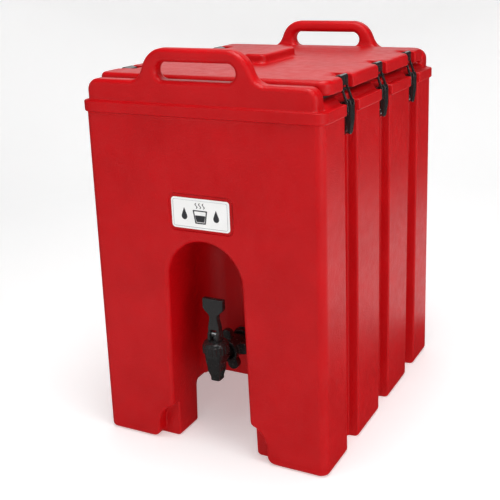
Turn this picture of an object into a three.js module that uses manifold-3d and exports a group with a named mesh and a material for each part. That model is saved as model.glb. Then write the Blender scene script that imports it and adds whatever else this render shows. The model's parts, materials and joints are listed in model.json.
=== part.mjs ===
// Insulated beverage carrier: a thick-wall rotomoulded box with a latched lid and a front spigot.
// Millimetres, +Z up. The origin is on the floor under the middle of the box. The spigot side faces -Y.

import * as THREE from 'three';
import { mergeVertices } from 'three/addons/utils/BufferGeometryUtils.js';
import Module from 'manifold-3d';

const wasm = await Module();
wasm.setup();
const { Manifold, Mesh: ManifoldMesh } = wasm;

// ---------------------------------------------------------------- driving dimensions
const GAP = 0.3;                  // between pieces that touch

const BODY_W = 400;               // width under the rim band
const BODY_D = 500;               // depth under the rim band
const FLOOR_W = 404;              // width at the floor
const FLOOR_D = 514;              // depth at the floor
const CORNER_R = 14;

const BAND_W = 408;
const BAND_D = 508;
const BAND_Z0 = 545;
const BAND_Z1 = 562;
const RIM_Z = 571;                // inner edge of the sloping rim
const RIM_HALF_W = 186;

const WALL_HALF_W = 192;          // front and back upstand walls
const WALL_T = 28;
const WALL_TOP = 595;
const WALL_R = 18;
const HANDLE_T = 24;
const HANDLE_TOP = 643;
const HANDLE_HALF_W = 92;
const HANDLE_R = 40;
const HANDLE_FLARE = 22;
const GRIP_HALF_W = 66;           // opening in the loop handle
const GRIP_Z0 = 597;
const GRIP_Z1 = 623;

const GROOVE_Y = [-146, 0, 146];  // latch grooves, three a side
const GROOVE_X = 184;             // groove floor
const GROOVE_FLOOR_HALF_W = 22;
const GROOVE_MOUTH_HALF_W = 24;
const GROOVE_LIP = 2;             // chamfer on the mouth

const NICHE_HALF_W = 67;
const NICHE_SPRING_Z = 290;       // centre of the arch
const NICHE_BACK_Y = -134;
const NICHE_CORNER_R = 38;

const BASE_Z = 79;                // underside of the tub
const BASE_HALF_X = 152;
const BASE_HALF_Y = 178;
const BASE_R = 22;
const NOTCH_HALF_W = 60;          // stacking notch, the shape of a handle
const NOTCH_R = 40;
const NOTCH_TOP = 66;
const NOTCH_FLARE = 18;
const NOTCH_DEPTH = 21;

const TUB_HALF_X = 158;
const TUB_HALF_Y = 206;
const TUB_FRONT_Y = -94;          // lower front wall, behind the niche
const TUB_FLOOR = 122;
const TUB_SHELF_Z = 382;          // shelf over the niche, rising to the front
const TUB_SHELF_RISE = 28;
const TUB_R = 34;

const LABEL_HALF_W = 50;
const LABEL_Z0 = 376;
const LABEL_Z1 = 424;
const LABEL_Y = -250.3;           // floor of the label recess
const LABEL_RIM = 5;
const LABEL_CORNER_R = 5.5;
const LABEL_T = 1.4;

const PORT_R = 14;                // foam filling ports
const PORT_SIDES = 16;
const PORT_DEPTH = 9;
const BODY_PORT = [0, 70];
const LID_PORT = [0, -90];

const LID_HALF_X = 196;
const LID_HALF_Y = 216;
const LID_Z0 = 579;
const LID_Z1 = 600;
const LID_R = 18;
const LID_EDGE_R = 5;
const SKIN = 4;                   // moulded skin round the lid's foam
const PLUG_Z0 = 555;
const PLUG_CLEAR = 3.5;
const LEDGE_X = 183.5;            // outer face of each hook ledge
const LEDGE_Z = 594.4;
const LEDGE_IN_X = 174;
const RAMP_X = 161;
const NOTCH_Y_HALF = 21;
const RIDGE_HALF_X = 20;
const RIDGE_HALF_Y = 60;
const RIDGE_Y = -4;
const RIDGE_TOP = 615;
const VENT = [-100, -42];
const VENT_R = 6;
const VENT_SEAT_R = 16;
const VENT_SEAT_Z = 595;

const LATCH_BASE_T = 5;
const LATCH_BASE_HALF_W = 20.5;
const LATCH_BASE_Z0 = 512;
const LATCH_BASE_Z1 = 561;
const PIVOT = [197.5, 560];       // lever pin, as [x, z] on the right side
const LINK_PIVOT = [197, 547];    // link pin
const PIN_R = 1.95;
const PIN_HOLE_R = 2.03;
const EAR_IN = 2.4;
const EAR_OUT = 5;
const EAR_R = 3.9;
const CHEEK_IN = 5.4;
const LEVER_HALF_W = 7.5;
const LEVER_TIP_HALF_W = 6.3;
const LEVER_TIP_Z = 514;
const LINK_IN = 9.3;
const LINK_HALF_W = 12.2;
const LINK_T = 3.4;
const WINDOW_TOP = 585;
const HOOK_Z = 595.3;             // underside of the hook lip
const HOOK_TIP_X = 176.5;
const STRAP_OUT_X = 191;          // outer face of the upright part of the hook link

const SPIGOT_Y = -227;            // axis of the valve
const SHANK_Z = 150;
const SHANK_R = 13.8;
const BORE_R = 10.4;
const SPOUT_Z = 117;
const SPOUT_BORE_R = 7;
const SEAT_Z = 138;               // ledge that the seat cup closes on
const VALVE_TOP = 165;
const CAP_TOP = 186;
const CAP_R = 21.5;
const STEM_R = 3.6;
const HANDLE_PIN_Z = 195;
const HANDLE_PIN_R = 2;
const HANDLE_HOLE_R = 2.07;
const HEEL_DEPTH = 9;             // half depth of the foot that rocks on the cap
const PADDLE_TOP = 256;

const RED = 0xb81016;
const BLACK = 0x1b1b1d;

// ---------------------------------------------------------------- helpers
const shellMaterial = new THREE.MeshStandardMaterial({ color: RED, roughness: 0.42, metalness: 0 });
const nylonMaterial = new THREE.MeshStandardMaterial({ color: BLACK, roughness: 0.35, metalness: 0 });
const foamMaterial = new THREE.MeshStandardMaterial({ color: 0xe6d9a8, roughness: 0.9, metalness: 0 });
const rubberMaterial = new THREE.MeshStandardMaterial({ color: 0x2a2a2c, roughness: 0.7, metalness: 0 });
const siliconeMaterial = new THREE.MeshStandardMaterial({ color: 0xd8d8d4, roughness: 0.6, metalness: 0 });
const steelMaterial = new THREE.MeshStandardMaterial({ color: 0xb9bcc0, roughness: 0.3, metalness: 1 });
const labelMaterial = new THREE.MeshStandardMaterial({ color: 0xf2f2f0, roughness: 0.4, metalness: 0 });

function solid(geometry) {
  const bare = new THREE.BufferGeometry();
  bare.setAttribute('position', geometry.getAttribute('position').clone());
  if (geometry.index) bare.setIndex(geometry.index.clone());
  const merged = mergeVertices(bare, 1e-4);
  return new Manifold(new ManifoldMesh({
    numProp: 3,
    vertProperties: new Float32Array(merged.getAttribute('position').array),
    triVerts: new Uint32Array(merged.index.array),
  }));
}

function geometryOf(manifold) {
  const mesh = manifold.getMesh();
  const geometry = new THREE.BufferGeometry();
  const points = new Float32Array(mesh.vertProperties);
  geometry.setAttribute('position', new THREE.BufferAttribute(points, 3));
  geometry.setIndex(new THREE.BufferAttribute(new Uint32Array(mesh.triVerts), 1));
  geometry.computeVertexNormals();
  return geometry;
}

const union = (...parts) => parts.reduce((a, b) => a.add(b));
const cut = (whole, ...tools) => tools.reduce((a, b) => a.subtract(b), whole);

// Prism of an XY outline from z0 to z1.
function prism(outline, z0, z1, segments = 4) {
  const options = { depth: z1 - z0, bevelEnabled: false, curveSegments: segments };
  return solid(new THREE.ExtrudeGeometry(outline, options).translate(0, 0, z0));
}

// Prism of an XZ outline from y0 to y1.
function prismY(outline, y0, y1, segments = 4) {
  const options = { depth: y1 - y0, bevelEnabled: false, curveSegments: segments };
  const geometry = new THREE.ExtrudeGeometry(outline, options);
  return solid(geometry.rotateX(Math.PI / 2).translate(0, y1, 0));
}

// Prism of a YZ outline from x0 to x1.
function prismX(outline, x0, x1, segments = 4) {
  const options = { depth: x1 - x0, bevelEnabled: false, curveSegments: segments };
  const geometry = new THREE.ExtrudeGeometry(outline, options);
  return solid(geometry.rotateX(Math.PI / 2).rotateZ(Math.PI / 2).translate(x0, 0, 0));
}

function polygon(points) {
  return new THREE.Shape(points.map(([a, b]) => new THREE.Vector2(a, b)));
}

function rectangle(a0, a1, b0, b1, r) {
  const shape = new THREE.Shape();
  shape.absarc(a1 - r, b1 - r, r, 0, Math.PI / 2);
  shape.absarc(a0 + r, b1 - r, r, Math.PI / 2, Math.PI);
  shape.absarc(a0 + r, b0 + r, r, Math.PI, 1.5 * Math.PI);
  shape.absarc(a1 - r, b0 + r, r, 1.5 * Math.PI, 2 * Math.PI);
  return shape;
}

const circle = (a, b, r) => new THREE.Shape().absarc(a, b, r, 0, 2 * Math.PI);

function box(x0, x1, y0, y1, z0, z1) {
  const geometry = new THREE.BoxGeometry(x1 - x0, y1 - y0, z1 - z0);
  return solid(geometry.translate((x0 + x1) / 2, (y0 + y1) / 2, (z0 + z1) / 2));
}

const axes = { x: [0, 0, -Math.PI / 2], y: [0, 0, 0], z: [Math.PI / 2, 0, 0] };

// Cylinder along one axis between two coordinates on it; a and b place it on the other two.
function rod(axis, from, to, a, b, r, segments = 24) {
  const geometry = new THREE.CylinderGeometry(r, r, to - from, segments);
  const [rx, ry, rz] = axes[axis];
  geometry.rotateX(rx).rotateY(ry).rotateZ(rz);
  const middle = (from + to) / 2;
  const place = { x: [middle, a, b], y: [a, middle, b], z: [a, b, middle] }[axis];
  return solid(geometry.translate(...place));
}

// Block with rounded plan corners and rounded top and bottom edges.
function softBlock(x, y, z0, z1, r, edge, centreY = 0) {
  const outline = rectangle(-x + edge, x - edge, centreY - y + edge, centreY + y - edge, r - edge + 1);
  const geometry = new THREE.ExtrudeGeometry(outline, {
    depth: z1 - z0 - 2 * edge, curveSegments: 3,
    bevelEnabled: true, bevelThickness: edge, bevelSize: edge, bevelSegments: 2,
  });
  return solid(geometry.translate(0, 0, z0 + edge));
}

const root = new THREE.Group();

function add(name, shape, material, turn = 0) {
  const geometry = shape.isBufferGeometry ? shape : geometryOf(shape);
  const mesh = new THREE.Mesh(geometry, material);
  mesh.name = name;
  mesh.rotation.z = turn;
  root.add(mesh);
}

// ---------------------------------------------------------------- outlines of the body
function outerBox() {
  const outline = rectangle(-BODY_W / 2, BODY_W / 2, -BODY_D / 2, BODY_D / 2, CORNER_R);
  const options = { depth: BAND_Z1, bevelEnabled: false, curveSegments: 4 };
  const geometry = new THREE.ExtrudeGeometry(outline, options);
  const points = geometry.getAttribute('position');
  for (let i = 0; i < points.count; i += 1) {
    const t = (BAND_Z0 - points.getZ(i)) / BAND_Z0;
    points.setX(i, points.getX(i) * (1 + (FLOOR_W / BODY_W - 1) * t));
    points.setY(i, points.getY(i) * (1 + (FLOOR_D / BODY_D - 1) * t));
  }
  return solid(geometry);
}

function rimBand() {
  const band = rectangle(-BAND_W / 2, BAND_W / 2, -BAND_D / 2, BAND_D / 2, CORNER_R + 4);
  const slope = polygon([
    [-BAND_W / 2 + 1, BAND_Z1 - 2], [BAND_W / 2 - 1, BAND_Z1 - 2],
    [BAND_W / 2 - 1, BAND_Z1], [RIM_HALF_W, RIM_Z],
    [-RIM_HALF_W, RIM_Z], [-BAND_W / 2 + 1, BAND_Z1],
  ]);
  const reach = BODY_D / 2 - WALL_T + 4;
  return union(prism(band, BAND_Z0, BAND_Z1), prismY(slope, -reach, reach));
}

function wallOutline() {
  const shape = new THREE.Shape();
  shape.moveTo(-WALL_HALF_W, BAND_Z1 - 3);
  shape.lineTo(WALL_HALF_W, BAND_Z1 - 3);
  shape.absarc(WALL_HALF_W - WALL_R, WALL_TOP - WALL_R, WALL_R, 0, Math.PI / 2);
  shape.absarc(-WALL_HALF_W + WALL_R, WALL_TOP - WALL_R, WALL_R, Math.PI / 2, Math.PI);
  return shape;
}

// One side of the handle outline flares into the wall top with a concave arc.
function handleOutline() {
  const foot = HANDLE_HALF_W + HANDLE_FLARE;
  const shape = new THREE.Shape();
  shape.moveTo(-foot, WALL_TOP - 4);
  shape.lineTo(foot, WALL_TOP - 4);
  shape.lineTo(foot, WALL_TOP);
  shape.absarc(foot, WALL_TOP + HANDLE_FLARE, HANDLE_FLARE, 1.5 * Math.PI, Math.PI, true);
  const arcX = HANDLE_HALF_W - HANDLE_R;
  const arcZ = HANDLE_TOP - HANDLE_R + 0.001;
  shape.absarc(arcX, arcZ, HANDLE_R, 0.35, Math.PI / 2);
  shape.absarc(-arcX, arcZ, HANDLE_R, Math.PI / 2, Math.PI - 0.35);
  shape.absarc(-foot, WALL_TOP + HANDLE_FLARE, HANDLE_FLARE, 0, -Math.PI / 2, true);
  return shape;
}

function endWall() {
  const front = -BODY_D / 2;
  const grip = rectangle(-GRIP_HALF_W, GRIP_HALF_W, GRIP_Z0, GRIP_Z1, (GRIP_Z1 - GRIP_Z0) / 2 - 0.01);
  const wall = prismY(wallOutline(), front, front + WALL_T);
  const loop = prismY(handleOutline(), front, front + HANDLE_T);
  return cut(union(wall, loop), prismY(grip, front - 5, front + WALL_T + 5));
}

function groove(y) {
  const far = BAND_W / 2 + 10;
  const mouth = BODY_W / 2 - GROOVE_LIP;
  const a = GROOVE_FLOOR_HALF_W;
  const b = GROOVE_MOUTH_HALF_W;
  const c = b + (far - mouth);
  const right = [
    [GROOVE_X, y - a], [mouth, y - b], [far, y - c], [far, y + c], [mouth, y + b], [GROOVE_X, y + a],
  ];
  const left = right.map(([x, v]) => [-x, v]).reverse();
  return union(prism(polygon(right), -5, RIM_Z + 5), prism(polygon(left), -5, RIM_Z + 5));
}

function niche() {
  const half = NICHE_HALF_W;
  const arch = new THREE.Shape();
  arch.moveTo(-half - 2, -5);
  arch.lineTo(half + 2, -5);
  arch.absarc(0, NICHE_SPRING_Z, half, 0, Math.PI);
  const plan = rectangle(-half - 2, half + 2, -300, NICHE_BACK_Y, NICHE_CORNER_R);
  return prismY(arch, -290, NICHE_BACK_Y + 1, 9).intersect(prism(plan, -5, NICHE_SPRING_Z + half + 5, 5));
}

function baseRecess() {
  return prism(rectangle(-BASE_HALF_X, BASE_HALF_X, -BASE_HALF_Y, BASE_HALF_Y, BASE_R), -5, BASE_Z, 3);
}

function notchOutline() {
  const half = NOTCH_HALF_W;
  const side = half + NOTCH_R;
  const springZ = NOTCH_TOP - NOTCH_R;
  const shape = new THREE.Shape();
  shape.moveTo(-side - NOTCH_FLARE, -5);
  shape.lineTo(side + NOTCH_FLARE, -5);
  shape.lineTo(side + NOTCH_FLARE, 0);
  shape.absarc(side + NOTCH_FLARE, NOTCH_FLARE, NOTCH_FLARE, 1.5 * Math.PI, Math.PI, true);
  shape.absarc(half, springZ, NOTCH_R, 0, Math.PI / 2);
  shape.absarc(-half, springZ, NOTCH_R, Math.PI / 2, Math.PI);
  shape.absarc(-side - NOTCH_FLARE, NOTCH_FLARE, NOTCH_FLARE, 0, -Math.PI / 2, true);
  return shape;
}

function frontNotch() {
  const y = -FLOOR_D / 2;
  return prismY(notchOutline(), y - 10, y + NOTCH_DEPTH, 4);
}

function rearNotch() {
  return frontNotch().rotate([0, 0, 180]);
}

function tub() {
  const x = TUB_HALF_X;
  const y = TUB_HALF_Y;
  const side = polygon([
    [TUB_FRONT_Y, TUB_FLOOR], [y, TUB_FLOOR], [y, RIM_Z + 5], [-y, RIM_Z + 5],
    [-y, TUB_SHELF_Z + TUB_SHELF_RISE], [TUB_FRONT_Y, TUB_SHELF_Z],
  ]);
  const plan = rectangle(-x, x, -y, y, TUB_R);
  const frontX = polygon([
    [-x + TUB_R / 2, TUB_FLOOR], [x - TUB_R / 2, TUB_FLOOR], [x, TUB_FLOOR + TUB_R / 2],
    [x, RIM_Z + 5], [-x, RIM_Z + 5], [-x, TUB_FLOOR + TUB_R / 2],
  ]);
  const upright = prism(plan, 0, RIM_Z + 5, 5);
  return prismX(side, -x, x).intersect(upright).intersect(prismY(frontX, -y, y));
}

// ---------------------------------------------------------------- body
function bodyShell() {
  const outer = union(outerBox(), rimBand(), endWall(), endWall().rotate([0, 0, 180]));
  const recess = rectangle(
    -LABEL_HALF_W - LABEL_RIM, LABEL_HALF_W + LABEL_RIM, LABEL_Z0 - LABEL_RIM, LABEL_Z1 + LABEL_RIM, 9,
  );
  return cut(
    outer, tub(), niche(), baseRecess(), frontNotch(), rearNotch(),
    ...GROOVE_Y.map(groove),
    rod('y', NICHE_BACK_Y - 10, TUB_FRONT_Y + 10, 0, SHANK_Z, SHANK_R + GAP, 20),
    prismY(recess, -BODY_D / 2 - 20, LABEL_Y, 3),
    rod('z', BASE_Z - 5, BASE_Z + PORT_DEPTH, ...BODY_PORT, PORT_R, PORT_SIDES),
  );
}

function portPlug([x, y], z) {
  const disc = rod('z', z - 1.5, z + SKIN - 2 * GAP, x, y, PORT_R - GAP, PORT_SIDES);
  return union(disc, rod('z', z - 3.3, z - GAP, x, y, PORT_R + 5, PORT_SIDES));
}

function labelPlate() {
  const outline = rectangle(-LABEL_HALF_W, LABEL_HALF_W, LABEL_Z0, LABEL_Z1, LABEL_CORNER_R);
  return prismY(outline, LABEL_Y - GAP - LABEL_T, LABEL_Y - GAP, 4);
}

// ---------------------------------------------------------------- lid
function lidPlug(inset, z0, z1) {
  const x = TUB_HALF_X - PLUG_CLEAR - inset;
  const y = TUB_HALF_Y - PLUG_CLEAR - inset;
  return prism(rectangle(-x, x, -y, y, TUB_R - PLUG_CLEAR - inset / 2), z0, z1);
}

function lidFoamSpace(grow) {
  const wall = SKIN + grow;
  const slab = rectangle(-RAMP_X + wall, RAMP_X - wall, -LID_HALF_Y + 14 + grow, LID_HALF_Y - 14 - grow, 20);
  const upper = prism(slab, LID_Z0 + wall, LID_Z1 - wall, 4);
  const lower = lidPlug(wall, PLUG_Z0 + wall, LID_Z0 + wall + 1);
  const chimney = rod('z', PLUG_Z0 - 5, LID_Z1 + 5, ...VENT, VENT_R + SKIN + grow, 16);
  const seat = rod('z', VENT_SEAT_Z - wall, LID_Z1 + 5, ...VENT, VENT_SEAT_R + wall, 16);
  return cut(union(upper, lower), chimney, seat);
}

function hookNotch(y) {
  const far = LID_HALF_X + 10;
  const slot = box(LEDGE_X, far, y - NOTCH_Y_HALF, y + NOTCH_Y_HALF, LID_Z0 - 5, LID_Z1 + 5);
  const ramp = polygon([
    [RAMP_X, LID_Z1], [LEDGE_IN_X, LEDGE_Z], [far, LEDGE_Z], [far, LID_Z1 + 5], [RAMP_X - 12, LID_Z1 + 5],
  ]);
  return union(slot, prismY(ramp, y - NOTCH_Y_HALF + 4, y + NOTCH_Y_HALF - 4));
}

function lidShell() {
  const slab = softBlock(LID_HALF_X, LID_HALF_Y, LID_Z0, LID_Z1, LID_R, LID_EDGE_R);
  const ridge = softBlock(RIDGE_HALF_X, RIDGE_HALF_Y, LID_Z1 - 8, RIDGE_TOP, 9, 4, RIDGE_Y);
  const notches = GROOVE_Y.map(hookNotch);
  return cut(
    union(slab, lidPlug(0, PLUG_Z0, LID_Z0 + 2), ridge),
    ...notches, ...notches.map((n) => n.rotate([0, 0, 180])),
    lidFoamSpace(0),
    rod('z', PLUG_Z0 - 5, LID_Z1 + 5, ...VENT, VENT_R, 16),
    rod('z', VENT_SEAT_Z, LID_Z1 + 5, ...VENT, VENT_SEAT_R, 16),
    rod('z', PLUG_Z0 - 5, PLUG_Z0 + SKIN + 5, ...LID_PORT, PORT_R, PORT_SIDES),
  );
}

function lidGasket() {
  const outer = rectangle(-175, 175, -LID_HALF_Y + 1, LID_HALF_Y - 1, 30);
  const inner = rectangle(-TUB_HALF_X - 3, TUB_HALF_X + 3, -TUB_HALF_Y - 2.5, TUB_HALF_Y + 2.5, TUB_R);
  return cut(prism(outer, RIM_Z + GAP, LID_Z0 - GAP), prism(inner, RIM_Z - 1, LID_Z0 + 1));
}

function ventCap() {
  const head = rod('z', VENT_SEAT_Z + 3, 603, ...VENT, 13, 20);
  const grip = box(VENT[0] - 12, VENT[0] + 12, VENT[1] - 3, VENT[1] + 3, 602, 608);
  return union(head, grip, rod('z', LID_Z0 + 3, VENT_SEAT_Z + 4, ...VENT, VENT_R - 0.4, 12));
}

function ventSeal() {
  const z0 = VENT_SEAT_Z + GAP;
  const z1 = VENT_SEAT_Z + 3 - GAP;
  return cut(rod('z', z0, z1, ...VENT, 11, 16), rod('z', z0 - 1, z1 + 1, ...VENT, VENT_R + 1, 12));
}

// ---------------------------------------------------------------- one latch, on the right side at y = 0
function pinHole([x, z], r = PIN_HOLE_R) {
  return rod('y', -30, 30, x, z, r, 12);
}

function latchBase() {
  const x0 = GROOVE_X + GAP;
  const x1 = x0 + LATCH_BASE_T;
  const half = LATCH_BASE_HALF_W;
  const plate = prismX(rectangle(-half, half, LATCH_BASE_Z0, LATCH_BASE_Z1, 5), x0, x1, 3);
  const arm = new THREE.Shape();
  arm.moveTo(x1 - 1, PIVOT[1] - EAR_R - 5);
  arm.lineTo(PIVOT[0] - 3, PIVOT[1] - EAR_R + 0.2);
  arm.absarc(PIVOT[0], PIVOT[1], EAR_R, -Math.PI / 2, Math.PI / 2);
  arm.lineTo(x1 - 1, PIVOT[1] + EAR_R - 3.2);
  const ears = union(prismY(arm, -EAR_OUT, -EAR_IN), prismY(arm, EAR_IN, EAR_OUT));
  return cut(union(plate, ears), pinHole(PIVOT));
}

function leverOutline(inset) {
  const [ax, az] = PIVOT;
  const shape = new THREE.Shape();
  shape.absarc(ax, az, 6 - inset, Math.PI * 0.05, Math.PI);
  shape.lineTo(ax - 5.2 + inset, az - 12);
  shape.lineTo(ax - 1.2 + inset, LEVER_TIP_Z);
  shape.lineTo(ax + 3.2 - inset, LEVER_TIP_Z);
  shape.lineTo(ax + 7 - inset, az - 20);
  shape.lineTo(ax + 7 - inset, az - 2);
  return shape;
}

function latchLever() {
  const [ax, az] = PIVOT;
  const block = prismY(leverOutline(0), -LEVER_HALF_W, LEVER_HALF_W);
  const tip = LEVER_TIP_HALF_W;
  const face = new THREE.Shape();
  face.moveTo(-LEVER_HALF_W - 1, az + 10);
  face.lineTo(-LEVER_HALF_W - 1, az - 18);
  face.lineTo(-tip, LEVER_TIP_Z + 5);
  face.quadraticCurveTo(-tip + 0.5, LEVER_TIP_Z, 0, LEVER_TIP_Z - 0.2);
  face.quadraticCurveTo(tip - 0.5, LEVER_TIP_Z, tip, LEVER_TIP_Z + 5);
  face.lineTo(LEVER_HALF_W + 1, az - 18);
  face.lineTo(LEVER_HALF_W + 1, az + 10);
  const plan = prismX(face, ax - 20, ax + 20, 3);
  const web = 2.4;
  const channelOutline = polygon([
    [ax - 20, az + 20], [ax - 20, LEVER_TIP_Z + 6], [ax + 1.2 - web + 1.4, LEVER_TIP_Z + 6],
    [ax + 7 - web, az - 20], [ax + 7 - web, az - 2], [ax + 20, az - 2], [ax + 20, az + 20],
  ]);
  const channel = prismY(channelOutline, -CHEEK_IN, CHEEK_IN);
  const taper = polygon([
    [-CHEEK_IN, az + 30], [-CHEEK_IN, az - 18], [-tip + 2, LEVER_TIP_Z + 5],
    [tip - 2, LEVER_TIP_Z + 5], [CHEEK_IN, az - 18], [CHEEK_IN, az + 30],
  ]);
  const hollow = channel.intersect(prismX(taper, ax - 30, ax + 30));
  return cut(block.intersect(plan), hollow, pinHole(PIVOT), pinHole(LINK_PIVOT));
}

// The link is a flat strap: up from the link pin, leaning in, upright, then bent over into the hook lip.
function linkOutline() {
  const [bx, bz] = LINK_PIVOT;
  const half = LINK_T / 2;
  const middle = STRAP_OUT_X - half;
  const bend = 4.2;
  const shape = new THREE.Shape();
  shape.absarc(bx, bz, 3.9, Math.PI, 2 * Math.PI);
  shape.lineTo(bx + half + 0.6, bz + 15);
  shape.lineTo(middle + half, bz + 36);
  shape.absarc(STRAP_OUT_X - bend, HOOK_Z + 1.2, bend, 0, Math.PI / 2);
  shape.lineTo(HOOK_TIP_X + 0.6, HOOK_Z + 3);
  shape.lineTo(HOOK_TIP_X, HOOK_Z + 1.2);
  shape.lineTo(HOOK_TIP_X + 1.2, HOOK_Z);
  shape.lineTo(middle - half - 1.2, HOOK_Z);
  shape.lineTo(middle - half, HOOK_Z - 1.8);
  shape.lineTo(middle - half, bz + 36);
  shape.lineTo(bx - half - 0.6, bz + 15);
  return shape;
}

function hookLink() {
  const body = prismY(linkOutline(), -LINK_HALF_W, LINK_HALF_W, 3);
  const window = box(150, 230, -LINK_IN, LINK_IN, 500, WINDOW_TOP);
  return cut(body, window, pinHole(LINK_PIVOT));
}

function latchPin([x, z], halfLength) {
  return rod('y', -halfLength, halfLength, x, z, PIN_R, 12);
}

const latchPieces = {
  base: [latchBase(), nylonMaterial],
  lever: [latchLever(), nylonMaterial],
  lever_pin: [latchPin(PIVOT, LEVER_HALF_W - 0.4), steelMaterial],
  link_pin: [latchPin(LINK_PIVOT, LINK_HALF_W - 0.3), steelMaterial],
  link: [hookLink(), nylonMaterial],
};

function addLatch(label, y, turn) {
  for (const [piece, [shape, material]] of Object.entries(latchPieces)) {
    add(`latch_${label}_${piece}`, shape.translate([0, y, 0]), material, turn);
  }
}

// ---------------------------------------------------------------- spigot
// Stack of rounded rectangles, each given as [z, half width, half depth, corner radius, centre y].
function loft(sections, perCorner = 4) {
  const positions = [];
  const index = [];
  const count = 4 * (perCorner + 1);
  for (const [z, x, y, r, centre] of sections) {
    for (let corner = 0; corner < 4; corner += 1) {
      const sx = corner === 0 || corner === 3 ? 1 : -1;
      const sy = corner < 2 ? 1 : -1;
      for (let i = 0; i <= perCorner; i += 1) {
        const angle = ((corner + i / perCorner) * Math.PI) / 2;
        positions.push(sx * (x - r) + r * Math.cos(angle), centre + sy * (y - r) + r * Math.sin(angle), z);
      }
    }
  }
  for (let s = 0; s < sections.length - 1; s += 1) {
    for (let i = 0; i < count; i += 1) {
      const a = s * count + i;
      const b = s * count + ((i + 1) % count);
      index.push(a, b, b + count, a, b + count, a + count);
    }
  }
  const top = (sections.length - 1) * count;
  for (let i = 1; i < count - 1; i += 1) {
    index.push(0, i + 1, i);
    index.push(top, top + i, top + i + 1);
  }
  const geometry = new THREE.BufferGeometry();
  geometry.setAttribute('position', new THREE.BufferAttribute(new Float32Array(positions), 3));
  geometry.setIndex(index);
  return solid(geometry);
}

function valveBody() {
  const shell = loft([
    [SPOUT_Z, 8.8, 9.6, 4, SPIGOT_Y], [SPOUT_Z + 7, 9.1, 10, 4, SPIGOT_Y],
    [SPOUT_Z + 18, 11.9, 12.8, 5, SPIGOT_Y],
    [VALVE_TOP - 8, 14.5, 15, 7, SPIGOT_Y], [VALVE_TOP, 15.5, 15.5, 8, SPIGOT_Y],
  ]);
  const neck = rod('z', VALVE_TOP - 1, VALVE_TOP + 11, 0, SPIGOT_Y, 14.4, 20);
  const tail = rod('y', SPIGOT_Y + 10, -175.4, 0, SHANK_Z, 10, 20);
  const collar = rod('y', -181, -175.4, 0, SHANK_Z, 13.4, 20);
  return cut(
    union(shell, neck, tail, collar),
    rod('z', SEAT_Z, VALVE_TOP + 20, 0, SPIGOT_Y, 11.5, 20),
    rod('z', SPOUT_Z - 5, SEAT_Z + 2, 0, SPIGOT_Y, SPOUT_BORE_R, 16),
    rod('y', SPIGOT_Y, -170, 0, SHANK_Z, 7, 16),
  );
}

// Cap outline with a shallow V flute between every two grip teeth.
function serratedDisc(r, depth, teeth) {
  const shape = new THREE.Shape();
  for (let i = 0; i < 2 * teeth; i += 1) {
    const turn = (i * Math.PI) / teeth;
    const reach = i % 2 ? r - depth : r;
    const point = [reach * Math.cos(turn), SPIGOT_Y + reach * Math.sin(turn)];
    if (i === 0) shape.moveTo(...point);
    else shape.lineTo(...point);
  }
  return shape;
}

function bonnetCap() {
  const skirt = prism(serratedDisc(CAP_R, 1.6, 20), VALVE_TOP + GAP, VALVE_TOP + 14);
  const crown = new THREE.CylinderGeometry(13, CAP_R - 2, CAP_TOP - VALVE_TOP - 14 + 0.5, 24);
  const dome = solid(crown.rotateX(Math.PI / 2).translate(0, SPIGOT_Y, (CAP_TOP + VALVE_TOP + 13.5) / 2));
  return cut(
    union(skirt, dome),
    rod('z', VALVE_TOP - 1, VALVE_TOP + 11.4, 0, SPIGOT_Y, 14.8, 20),
    rod('z', VALVE_TOP, CAP_TOP + 5, 0, SPIGOT_Y, STEM_R + 0.4, 12),
  );
}

function valveStem() {
  const eye = rod('x', -4.6, 4.6, SPIGOT_Y, HANDLE_PIN_Z, 4.8, 16);
  const shaft = rod('z', 152, HANDLE_PIN_Z, 0, SPIGOT_Y, STEM_R, 12);
  const foot = rod('z', 152, 155, 0, SPIGOT_Y, 6, 12);
  return cut(union(eye, shaft, foot), rod('x', -20, 20, SPIGOT_Y, HANDLE_PIN_Z, HANDLE_HOLE_R, 16));
}

function seatCup() {
  const cup = rod('z', SEAT_Z + GAP, 151.6, 0, SPIGOT_Y, 9.5, 20);
  return cut(cup, rod('z', SEAT_Z - 1, SEAT_Z + 4, 0, SPIGOT_Y, 5, 12));
}

function paddleOutline() {
  const shape = new THREE.Shape();
  shape.moveTo(-10.5, CAP_TOP + GAP);
  shape.lineTo(10.5, CAP_TOP + GAP);
  shape.lineTo(10.5, 203);
  shape.quadraticCurveTo(7.5, 210, 7.5, 222);
  shape.quadraticCurveTo(8, 232, 18.6, 239);
  shape.lineTo(19, PADDLE_TOP);
  shape.lineTo(-19, PADDLE_TOP);
  shape.lineTo(-18.6, 239);
  shape.quadraticCurveTo(-8, 232, -7.5, 222);
  shape.quadraticCurveTo(-7.5, 210, -10.5, 203);
  return shape;
}

function spigotHandle() {
  const blade = prismY(paddleOutline(), SPIGOT_Y - 6, SPIGOT_Y + 6);
  const heel = box(-10.5, 10.5, SPIGOT_Y - HEEL_DEPTH, SPIGOT_Y + HEEL_DEPTH, CAP_TOP + GAP, CAP_TOP + 12);
  const slot = box(-5.4, 5.4, SPIGOT_Y - 15, SPIGOT_Y + 15, CAP_TOP - 5, 204);
  return cut(union(blade, heel), slot, rod('x', -20, 20, SPIGOT_Y, HANDLE_PIN_Z, HANDLE_HOLE_R, 16));
}

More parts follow.
